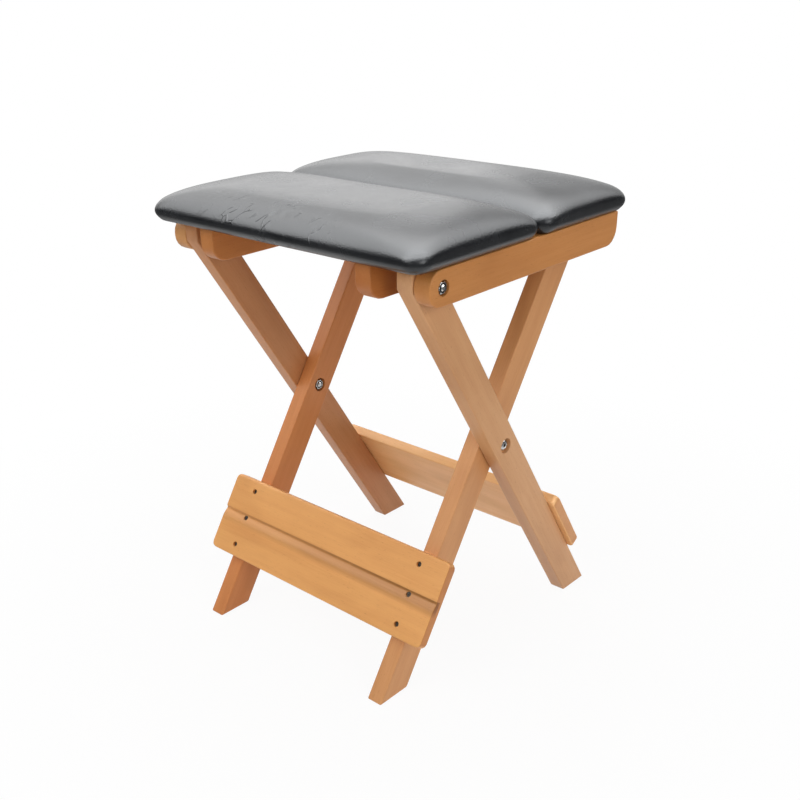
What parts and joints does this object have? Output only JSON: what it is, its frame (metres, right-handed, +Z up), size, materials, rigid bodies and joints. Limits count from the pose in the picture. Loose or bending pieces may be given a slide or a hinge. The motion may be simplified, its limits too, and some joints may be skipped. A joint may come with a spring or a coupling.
{
  "type": "folding stool",
  "caption": "Folding wooden stool with crossed legs, two foot boards, the front one grooved, and a padded seat split into two halves that fold up with the legs.",
  "frame": {"origin": "on the floor, under the middle of the crossing bolts", "axes": "+X across the stool to its right, -Y towards its front, where the inner legs stand with the front board, +Z up"},
  "size_m": [0.3498, 0.3398, 0.4771],
  "materials": {
    "beech": "clear satin lacquer",
    "plywood": "raw",
    "foam": "matte",
    "leatherette": "black with a satin sheen",
    "steel": "bright plated",
    "dark_steel": "dark phosphate"
  },
  "bodies": {
    "outer_legs": {"outer_leg_left": "beech", "outer_leg_right": "beech", "rear_board": "beech", "rear_screw_left_1": "dark_steel", "rear_screw_left_2": "dark_steel", "rear_screw_left_3": "dark_steel", "rear_screw_right_1": "dark_steel", "rear_screw_right_2": "dark_steel", "rear_screw_right_3": "dark_steel", "crossing_left_bolt": "steel", "crossing_right_bolt": "steel", "front_pivot_left_bolt": "steel", "front_pivot_right_bolt": "steel"},
    "inner_legs": {"inner_leg_left": "beech", "inner_leg_right": "beech", "front_board": "beech", "front_screw_left_1": "dark_steel", "front_screw_left_2": "dark_steel", "front_screw_left_3": "dark_steel", "front_screw_right_1": "dark_steel", "front_screw_right_2": "dark_steel", "front_screw_right_3": "dark_steel", "crossing_left_washer": "steel", "crossing_left_nut": "steel", "crossing_right_washer": "steel", "crossing_right_nut": "steel", "rear_pivot_left_bolt": "steel", "rear_pivot_right_bolt": "steel"},
    "rear_seat": {"outer_rail_left": "beech", "outer_rail_right": "beech", "rear_seat_board": "plywood", "rear_foam": "foam", "rear_cover": "leatherette", "rear_seat_screw_left_1": "dark_steel", "rear_seat_screw_left_2": "dark_steel", "rear_seat_screw_right_1": "dark_steel", "rear_seat_screw_right_2": "dark_steel", "front_pivot_left_washer": "steel", "front_pivot_left_nut": "steel", "front_pivot_right_washer": "steel", "front_pivot_right_nut": "steel"},
    "front_seat": {"inner_rail_left": "beech", "inner_rail_right": "beech", "front_seat_board": "plywood", "front_foam": "foam", "front_cover": "leatherette", "front_seat_screw_left_1": "dark_steel", "front_seat_screw_left_2": "dark_steel", "front_seat_screw_right_1": "dark_steel", "front_seat_screw_right_2": "dark_steel", "rear_pivot_left_washer": "steel", "rear_pivot_left_nut": "steel", "rear_pivot_right_washer": "steel", "rear_pivot_right_nut": "steel"}
  },
  "joints": [
    {"name": "leg_fold", "type": "hinge", "parent": "outer_legs", "child": "inner_legs", "pos_m": [0, 0, 0.2305], "axis": [1, 0, 0], "range_deg": [0, 66]},
    {"name": "rear_seat_fold", "type": "hinge", "parent": "outer_legs", "child": "rear_seat", "pos_m": [0, -0.12575, 0.4235], "axis": [1, 0, 0], "range_deg": [0, 99]},
    {"name": "front_seat_fold", "type": "hinge", "parent": "inner_legs", "child": "front_seat", "pos_m": [0, 0.12575, 0.4235], "axis": [-1, 0, 0], "range_deg": [0, 99]}
  ],
  "couplings": [
    {"joint": "rear_seat_fold", "follows": "leg_fold", "ratio": 1.5},
    {"joint": "front_seat_fold", "follows": "leg_fold", "ratio": 1.5}
  ]
}
